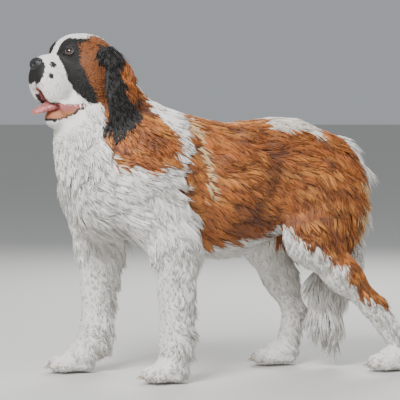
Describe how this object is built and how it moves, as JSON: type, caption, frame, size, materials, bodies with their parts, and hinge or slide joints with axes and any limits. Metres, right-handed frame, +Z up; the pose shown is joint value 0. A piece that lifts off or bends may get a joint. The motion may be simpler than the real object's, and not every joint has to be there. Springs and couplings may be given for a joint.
{
  "type": "saint bernard dog",
  "caption": "Life-size saint bernard standing still on all fours, mouth open with the tongue out, tail hanging, with a long shaggy coat.",
  "frame": {"origin": "on the floor under the middle of the dog's bounding box", "axes": "+X to the tail, -X to the nose, -Y to the dog's left side, +Z up"},
  "size_m": [1.1408, 0.429, 0.992],
  "materials": {
    "coat": "long orange and brown hair with white",
    "white_coat": "white hair",
    "dark_coat": "short black and tan hair",
    "nose": "moist black skin",
    "tongue": "wet pink",
    "eye": "wet dark brown",
    "claw": "dull horn"
  },
  "bodies": {
    "root": {"torso": "coat", "neck": "coat", "head": "white_coat", "jaw": "white_coat", "tongue": "tongue", "nose": "nose", "eye_left": "eye", "eye_right": "eye", "ear_left": "dark_coat", "ear_right": "dark_coat", "tail_upper": "white_coat", "tail_lower": "white_coat", "foreleg_left_upper": "white_coat", "foreleg_left_lower": "white_coat", "foreleg_left_paw": "white_coat", "foreleg_right_upper": "white_coat", "foreleg_right_lower": "white_coat", "foreleg_right_paw": "white_coat", "hindleg_left_thigh": "coat", "hindleg_left_shank": "white_coat", "hindleg_left_paw": "white_coat", "hindleg_right_thigh": "coat", "hindleg_right_shank": "white_coat", "hindleg_right_paw": "white_coat"}
  },
  "joints": []
}
